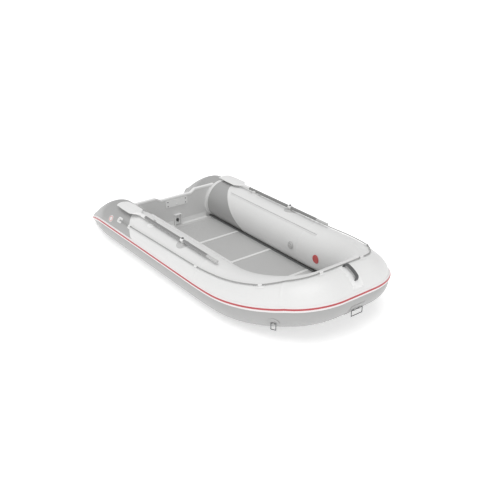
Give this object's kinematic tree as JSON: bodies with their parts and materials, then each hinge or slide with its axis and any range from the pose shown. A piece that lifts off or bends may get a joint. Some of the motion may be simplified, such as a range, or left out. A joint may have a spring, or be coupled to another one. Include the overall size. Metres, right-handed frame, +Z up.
{
  "type": "inflatable dinghy",
  "caption": "Inflatable rigid-transom dinghy with an aluminium panel floor, air keel, swept-up bow, oars in swivel rowlocks, grab line, bow handle and towing rings.",
  "frame": {"origin": "on the ground under the middle of the hull: half way along its length and half way across its beam", "axes": "+X to the bow, +Y to port, +Z up"},
  "size_m": [3.3098, 1.5694, 0.586],
  "materials": {
    "white_pvc": "satin coated PVC fabric",
    "grey_pvc": "satin coated PVC fabric",
    "strake_pvc": "extruded soft PVC",
    "stripe_red": "extruded soft PVC",
    "dark_rubber": "matt moulded rubber",
    "floor_alloy": "anodised, ribbed",
    "transom_board": "plywood in a grey glassfibre skin",
    "white_plastic": "moulded, satin",
    "grey_plastic": "moulded, satin",
    "steel": "dull stainless",
    "oar_alloy": "grey anodised tube",
    "rope": "braided line",
    "trim_alloy": "extruded, natural"
  },
  "bodies": {
    "hull": {"starboard_side_tube": "white_pvc", "port_side_tube": "white_pvc", "bow_tube": "white_pvc", "starboard_quarter_tube": "grey_pvc", "port_quarter_tube": "grey_pvc", "starboard_stern_cone": "grey_pvc", "port_stern_cone": "grey_pvc", "chamber_bulkheads": "grey_pvc", "rub_strake": "strake_pvc", "rub_strake_stripe": "stripe_red", "bottom_skin": "grey_pvc", "keel_bladder": "grey_pvc", "floor_panel_aft": "floor_alloy", "floor_panel_middle": "floor_alloy", "floor_panel_fore": "floor_alloy", "floor_board_bow": "floor_alloy", "floor_joiners": "trim_alloy", "side_stringers": "dark_rubber", "transom_board": "transom_board", "transom_cap": "white_plastic", "transom_base_channel": "trim_alloy", "transom_bands": "white_pvc", "motor_plate_inner": "white_plastic", "motor_plate_outer": "dark_rubber", "motor_plate_bolts": "steel", "drain_valve": "white_plastic", "drain_guard": "white_plastic", "thwart_rails": "white_pvc", "rowlock_bases": "grey_plastic", "oar_rests": "white_plastic", "blade_keepers": "white_plastic", "grab_line": "rope", "grab_line_patches": "white_pvc", "bow_handle_base": "white_plastic", "bow_handle_grip": "dark_rubber", "bow_ring_patch": "grey_pvc", "tow_ring_patches": "grey_pvc", "air_valves": "grey_plastic", "side_badges": "stripe_red", "stern_badges": "white_plastic"},
    "starboard_rowlock": {"starboard_rowlock_post": "dark_rubber", "starboard_rowlock_cap": "dark_rubber"},
    "port_rowlock": {"port_rowlock_post": "dark_rubber", "port_rowlock_cap": "dark_rubber"},
    "starboard_oar": {"starboard_oar_collar": "white_plastic", "starboard_oar_shaft": "oar_alloy", "starboard_oar_blade": "white_plastic", "starboard_oar_grip": "dark_rubber"},
    "port_oar": {"port_oar_collar": "white_plastic", "port_oar_shaft": "oar_alloy", "port_oar_blade": "white_plastic", "port_oar_grip": "dark_rubber"},
    "bow_ring": {"bow_ring": "steel"},
    "starboard_tow_ring": {"starboard_tow_ring": "steel"},
    "port_tow_ring": {"port_tow_ring": "steel"},
    "drain_plug": {"drain_plug": "dark_rubber"},
    "drain_flap": {"drain_flap": "dark_rubber"},
    "starboard_valve_cap": {"starboard_valve_cap": "dark_rubber"},
    "port_valve_cap": {"port_valve_cap": "dark_rubber"},
    "bow_valve_cap": {"bow_valve_cap": "dark_rubber"}
  },
  "joints": [
    {"name": "starboard_rowlock_tilt", "type": "hinge", "parent": "hull", "child": "starboard_rowlock", "pos_m": [0.12, -0.611, 0.416], "axis": [1, 0, 0], "range_deg": [-10, 15]},
    {"name": "port_rowlock_tilt", "type": "hinge", "parent": "hull", "child": "port_rowlock", "pos_m": [0.12, 0.611, 0.416], "axis": [1, 0, 0], "range_deg": [-15, 10]},
    {"name": "starboard_oar_swivel", "type": "hinge", "parent": "starboard_rowlock", "child": "starboard_oar", "pos_m": [0.12, -0.611, 0.416], "axis": [0, 0, 1], "range_deg": [0, 150]},
    {"name": "port_oar_swivel", "type": "hinge", "parent": "port_rowlock", "child": "port_oar", "pos_m": [0.12, 0.611, 0.416], "axis": [0, 0, 1], "range_deg": [-150, 0]},
    {"name": "bow_ring_swing", "type": "hinge", "parent": "hull", "child": "bow_ring", "pos_m": [1.63267, 0, 0.249], "axis": [0, 1, 0], "range_deg": [-110, 25]},
    {"name": "starboard_tow_ring_swing", "type": "hinge", "parent": "hull", "child": "starboard_tow_ring", "pos_m": [1.33675, -0.58928, 0.19056], "axis": [0.8793, 0.4763, 0], "range_deg": [-100, 25]},
    {"name": "port_tow_ring_swing", "type": "hinge", "parent": "hull", "child": "port_tow_ring", "pos_m": [1.33675, 0.58928, 0.19056], "axis": [0.8793, -0.4763, 0], "range_deg": [-25, 100]},
    {"name": "drain_plug_turn", "type": "hinge", "parent": "hull", "child": "drain_plug", "pos_m": [-0.9558, 0, 0.104], "axis": [1, 0, 0], "continuous": true},
    {"name": "drain_flap_swing", "type": "hinge", "parent": "hull", "child": "drain_flap", "pos_m": [-0.997, 0, 0.138], "axis": [0, 1, 0], "range_deg": [0, 80]},
    {"name": "starboard_valve_cap_turn", "type": "hinge", "parent": "hull", "child": "starboard_valve_cap", "pos_m": [0.42463, -0.35906, 0.22807], "axis": [0, 0.9945, 0.1045], "continuous": true},
    {"name": "port_valve_cap_turn", "type": "hinge", "parent": "hull", "child": "port_valve_cap", "pos_m": [0.42463, 0.35906, 0.22807], "axis": [0, -0.9945, 0.1045], "continuous": true},
    {"name": "bow_valve_cap_turn", "type": "hinge", "parent": "hull", "child": "bow_valve_cap", "pos_m": [1.25799, 0.1, 0.37181], "axis": [-0.9945, 0, 0.1045], "continuous": true}
  ]
}
